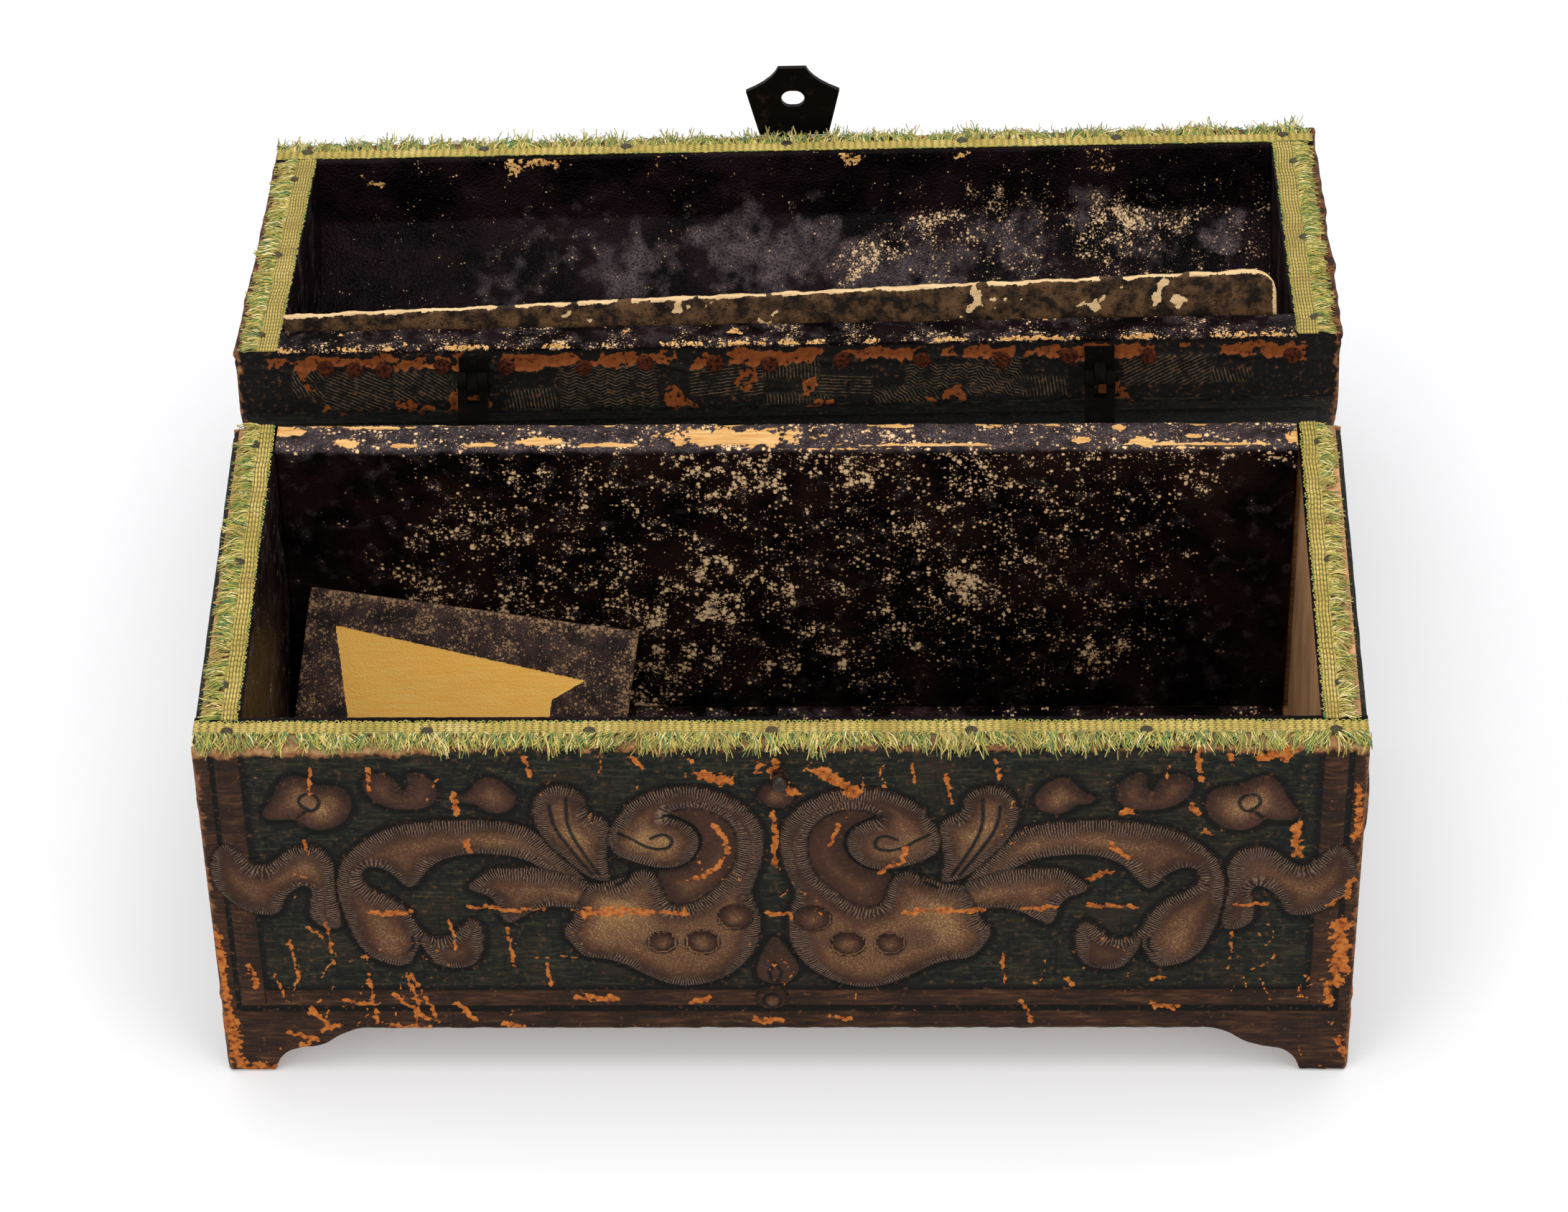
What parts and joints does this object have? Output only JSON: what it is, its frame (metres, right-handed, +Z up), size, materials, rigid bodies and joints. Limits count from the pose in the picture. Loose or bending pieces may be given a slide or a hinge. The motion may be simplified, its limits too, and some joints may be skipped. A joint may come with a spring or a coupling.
{
  "type": "domed casket",
  "caption": "Small leather-covered wooden casket on bracket feet, with a hinged domed lid, a hasp and stud, carved foliage and fringed braid on its rims.",
  "frame": {"origin": "on the table, under the middle of the hinge line", "axes": "+Z up, +Y from the base to the open lid, +X to the right of someone facing the front"},
  "size_m": [0.2412, 0.224, 0.1184],
  "materials": {
    "wood": "bare, aged",
    "carved_leather": "carved, painted and worn",
    "leather": "worn",
    "lining": "grained, rubbed",
    "pasteboard": "matt, stained",
    "braid": "woven, cut fringe",
    "iron": "dark, forged",
    "nails": "dark",
    "rusty_iron": "rusted"
  },
  "bodies": {
    "base": {"base_front_board": "wood", "base_back_board": "wood", "base_left_board": "wood", "base_right_board": "wood", "base_floor_board": "wood", "base_front_leather": "carved_leather", "base_back_leather": "leather", "base_left_leather": "leather", "base_right_leather": "leather", "base_front_lining": "lining", "base_back_lining": "lining", "base_left_lining": "lining", "base_floor_lining": "lining", "loose_lining_board": "pasteboard", "base_front_trim": "braid", "base_left_trim": "braid", "base_right_trim": "braid", "base_trim_nails": "nails", "base_board_nails": "nails", "lock_stud": "iron", "left_hinge_base_leaf": "iron", "right_hinge_base_leaf": "iron", "left_hinge_pin": "iron", "right_hinge_pin": "iron", "base_hinge_nails": "nails"},
    "lid": {"lid_front_board": "wood", "lid_back_board": "wood", "lid_left_board": "wood", "lid_right_board": "wood", "lid_dome_board": "wood", "lid_dome_leather": "leather", "lid_left_leather": "leather", "lid_right_leather": "leather", "lid_lining": "lining", "lid_left_lining": "lining", "lid_right_lining": "lining", "lid_rim_lining": "lining", "lid_loose_lining": "pasteboard", "lid_front_trim": "braid", "lid_left_trim": "braid", "lid_right_trim": "braid", "lid_trim_nails": "nails", "lid_back_nails": "rusty_iron", "lid_board_nails": "nails", "left_hinge_lid_leaf": "iron", "right_hinge_lid_leaf": "iron", "lid_hinge_nails": "nails", "hasp_leaf": "iron", "hasp_pin": "iron", "hasp_leaf_nails": "nails"},
    "hasp": {"hasp": "iron"}
  },
  "joints": [
    {"name": "lid_hinge", "type": "hinge", "parent": "base", "child": "lid", "pos_m": [0, 0, 0.1034], "axis": [1, 0, 0.0084], "range_deg": [0, 191.3]},
    {"name": "hasp_pivot", "type": "hinge", "parent": "lid", "child": "hasp", "pos_m": [0.00014, 0.11, 0.08407], "axis": [-0.9999, -0.0016, -0.0166], "range_deg": [0, 140]}
  ]
}
